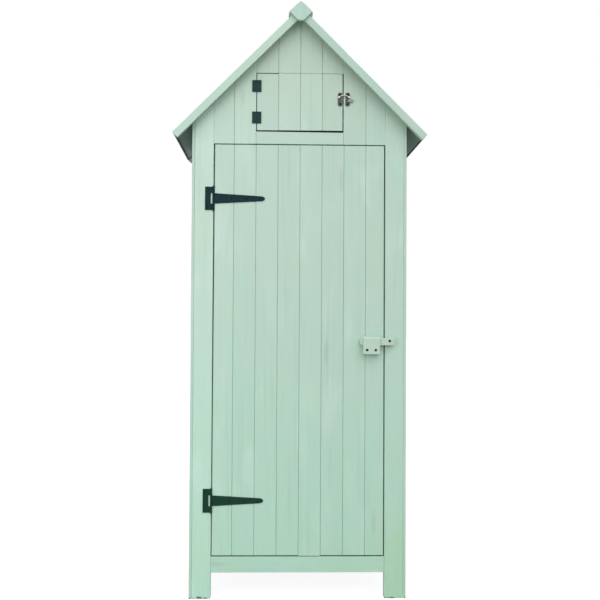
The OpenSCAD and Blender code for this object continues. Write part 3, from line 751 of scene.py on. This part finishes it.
# Hardware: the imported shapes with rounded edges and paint
def softenNode(node, width, material):
    thing = nodes[node]
    thing.data.materials.clear()
    thing.data.materials.append(material)
    weld = thing.modifiers.new("joined corners", "WELD")
    weld.merge_threshold = hair
    soft = thing.modifiers.new("pressed edges", "BEVEL")
    soft.width = width
    soft.segments = 2
    soft.limit_method = "ANGLE"
    soft.angle_limit = math.radians(30)


softenNode("hinge_plates", 0.35 * mm, hingePaint)
softenNode("hinge_straps", 0.3 * mm, hingePaint)
softenNode("hatch_hinges", 0.3 * mm, buttPaint)

# draw catch: dull dark screw plates, a bright wire bail and a greenish lever
catch = {"plate": 2 * mm, "proud": 0.2 * mm, "edge": 0.35 * mm, "screwUp": 14 * mm, "screwRadius": 3.1 * mm,
         "halfWidth": 7 * mm, "pitch": 23 * mm, "lever": 16.5 * mm, "wireUp": 4 * mm}
catchLow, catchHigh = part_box("hatch_catch")
catchMiddle = (catchLow + catchHigh) / 2
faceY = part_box("door_panel")[0].y
catchPiece = bmesh.new()
for solid in solidsOf("hatch_catch"):
    for face in solid.faces:
        middle = face.calc_center_median()
        proud = middle.y < faceY - catch["plate"] - catch["proud"]
        onLever = middle.x > catchHigh.x - catch["lever"] and middle.z < catchMiddle.z
        onWire = proud and middle.z > catchMiddle.z + catch["wireUp"]
        face.material_index = 2 if onLever else int(onWire)
    copies = {vert: catchPiece.verts.new(vert.co) for vert in solid.verts}
    for face in solid.faces:
        catchPiece.faces.new([copies[v] for v in face.verts]).material_index = face.material_index
    solid.free()
catchEdges = [e for e in catchPiece.edges
              if len(e.link_faces) == 2 and e.calc_face_angle(0) > math.radians(50)]
bmesh.ops.bevel(catchPiece, geom=catchEdges, offset=catch["edge"], segments=2, affect="EDGES",
                clamp_overlap=True)
placePiece(catchPiece, "hatch_catch_metal", "shed", [dullNickel, brightNickel, greenishNickel],
           ["hatch_catch"])

teeHinge = {"leaf": 2 * mm, "strapScrews": (54 * mm, 99 * mm, 140 * mm), "plateIn": 17 * mm,
            "plateUp": 26 * mm, "radius": 3.2 * mm}
maxTurn = 1.5   # radians, how far a screw's cross may stand turned
pinX = frame["joints"][0]["pos_m"][0]
leafY = faceY - teeHinge["leaf"]
hingeHeights = [sum(v.co.z for v in solid.verts) / len(solid.verts) for solid in solidsOf("hinge_straps")]
plateScrews = bmesh.new()
strapScrews = bmesh.new()
for z in sorted(hingeHeights):
    for dz in (-1, 1):
        spot = Vector((pinX - teeHinge["plateIn"], leafY, z + dz * teeHinge["plateUp"]))
        addScrew(plateScrews, spot, front, teeHinge["radius"], chance.uniform(0, maxTurn))
    for dx in teeHinge["strapScrews"]:
        spot = Vector((pinX + dx, leafY, z))
        addScrew(strapScrews, spot, front, teeHinge["radius"], chance.uniform(0, maxTurn))
placePiece(plateScrews, "hinge_plate_screws", "shed", [hingePaint])
placePiece(strapScrews, "hinge_strap_screws", "door", [hingePaint])

latchScrews = {"hookIn": (11.5 * mm, 37.5 * mm), "hookUp": 12.6 * mm, "barIn": 11.0 * mm, "barUp": 13.2 * mm,
               "radius": 3.8 * mm, "barTurn": 0.4}
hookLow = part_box("latch_hook")[0]
barLow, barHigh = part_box("latch_bar")
latchMesh = bmesh.new()
for dx in latchScrews["hookIn"]:
    spot = Vector((hookLow.x + dx, hookLow.y, hookLow.z + latchScrews["hookUp"]))
    addScrew(latchMesh, spot, front, latchScrews["radius"], chance.uniform(0, maxTurn))
spot = Vector((barHigh.x - latchScrews["barIn"], barLow.y, barLow.z + latchScrews["barUp"]))
addScrew(latchMesh, spot, front, latchScrews["radius"], latchScrews["barTurn"])
placePiece(latchMesh, "latch_screws", "door", [screwBlack])

catchMesh = bmesh.new()
for x in (catchLow.x + catch["halfWidth"], catchLow.x + catch["halfWidth"] + catch["pitch"]):
    for dz in (-1, 1):
        spot = Vector((x, faceY - catch["plate"], catchMiddle.z + dz * catch["screwUp"]))
        addScrew(catchMesh, spot, front, catch["screwRadius"], chance.uniform(0, maxTurn))
placePiece(catchMesh, "hatch_catch_screws", "shed", [screwBlack])

buttScrews = {"leaf": 2 * mm, "radius": 2.2 * mm, "in": 8 * mm, "up": 11 * mm}
buttMesh = bmesh.new()
for solid in solidsOf("hatch_hinges"):
    heights = [v.co.z for v in solid.verts]
    middleX = sum(v.co.x for v in solid.verts) / len(solid.verts)
    middleZ = (min(heights) + max(heights)) / 2
    for dx in (-1, 1):
        for dz in (-1, 1):
            spot = Vector((middleX + dx * buttScrews["in"], faceY - buttScrews["leaf"],
                           middleZ + dz * buttScrews["up"]))
            addScrew(buttMesh, spot, front, buttScrews["radius"], chance.uniform(0, maxTurn))
    solid.free()
placePiece(buttMesh, "hatch_hinge_screws", "shed", [buttPaint])
print("hardware fitted")


# Stage, light and camera
def seenShare(tree):
    # 1 for what the camera sees, straight, mirrored or through glass
    path = addNode(tree, "LightPath")
    share = path.outputs["Is Camera Ray"]
    for ray in ("Is Glossy Ray", "Is Transmission Ray"):
        share = addNode(tree, "Math", {0: share, 1: path.outputs[ray]}, operation="MAXIMUM").outputs[0]
    return share


stage = {"size": 60.0, "floorGrey": (0.32, 0.32, 0.32, 1), "glow": 0.88, "world": 0.62, "white": (1, 1, 1, 1),
         "aim": (0, -0.2, 0.9)}


# White painted studio board: the lit floor burns out to white and keeps the soft contact shadow.
def studioFloor():
    material, tree, shader = newMaterial("white studio board")
    shader.inputs["Base Color"].default_value = stage["floorGrey"]
    shader.inputs["Roughness"].default_value = 0.9
    glow = addNode(tree, "Emission", {"Color": stage["white"], "Strength": stage["glow"]})
    lifted = addNode(tree, "AddShader", {0: shader.outputs[0], 1: glow.outputs[0]})
    mixed = addNode(tree, "MixShader", {0: seenShare(tree), 1: shader.outputs[0], 2: lifted.outputs[0]})
    tree.links.new(mixed.outputs[0], tree.nodes["Material Output"].inputs["Surface"])
    return material


bpy.ops.mesh.primitive_plane_add(size=stage["size"], location=(0, 0, 0))
floor = bpy.context.object
floor.name = "studio_floor"
floor.data.materials.append(studioFloor())

world = bpy.data.worlds.new("soft studio")
bpy.context.scene.world = world
world.use_nodes = True
world.node_tree.nodes.clear()
sky = world.node_tree
dome = addNode(sky, "Background", {"Color": stage["white"], "Strength": stage["world"]})
backdrop = addNode(sky, "Background", {"Color": stage["white"], "Strength": 1.0})
mixed = addNode(sky, "MixShader", {0: seenShare(sky), 1: dome.outputs[0], 2: backdrop.outputs[0]})
addNode(sky, "OutputWorld", {"Surface": mixed.outputs[0]})


# one wide softbox above the camera, a small one low on the left
softboxes = {"key softbox": {"place": (1.6, -9.5, 8.2), "size": 16.0, "watts": 980.0},
             "fill softbox": {"place": (-1.8, -2.3, 1.0), "size": 1.2, "watts": 13.0}}
for name, box in softboxes.items():
    lamp = bpy.data.lights.new(name, "AREA")
    lamp.shape = "DISK"
    lamp.size = box["size"]
    lamp.energy = box["watts"]
    holder = bpy.data.objects.new(name, lamp)
    bpy.context.scene.collection.objects.link(holder)
    holder.location = box["place"]
    holder.rotation_euler = (Vector(stage["aim"]) - Vector(box["place"])).to_track_quat("-Z", "Y").to_euler()

# camera solved from the photo's edges: turns in degrees, focal length in pixels on a 600 pixel frame
lens = {"place": (-83.8 * mm, -3141.1 * mm, 855.3 * mm), "yaw": -1.697, "pitch": 1.497, "roll": -0.315,
        "focalPixels": 967.3, "axisAbove": 11.64, "framePixels": 600, "near": 0.05, "far": 200}
camera = bpy.data.cameras.new("photo camera")
camera.sensor_width = 36.0
camera.lens = camera.sensor_width * lens["focalPixels"] / lens["framePixels"]
camera.shift_y = -lens["axisAbove"] / lens["framePixels"]   # the photo is cropped a little below its axis
camera.clip_start = lens["near"]
camera.clip_end = lens["far"]
holder = bpy.data.objects.new("photo camera", camera)
bpy.context.scene.collection.objects.link(holder)
turn = (Matrix.Rotation(math.radians(lens["yaw"]), 3, "Z")
        @ Matrix.Rotation(math.radians(lens["pitch"]), 3, "X")
        @ Matrix.Rotation(math.radians(lens["roll"]), 3, "Y"))
looking = Matrix((turn.col[0], turn.col[2], -turn.col[1])).transposed()   # right, up, towards the viewer
holder.matrix_world = Matrix.Translation(lens["place"]) @ looking.to_4x4()
bpy.context.scene.camera = holder
bpy.context.scene.view_settings.view_transform = "Standard"
print("stage set")
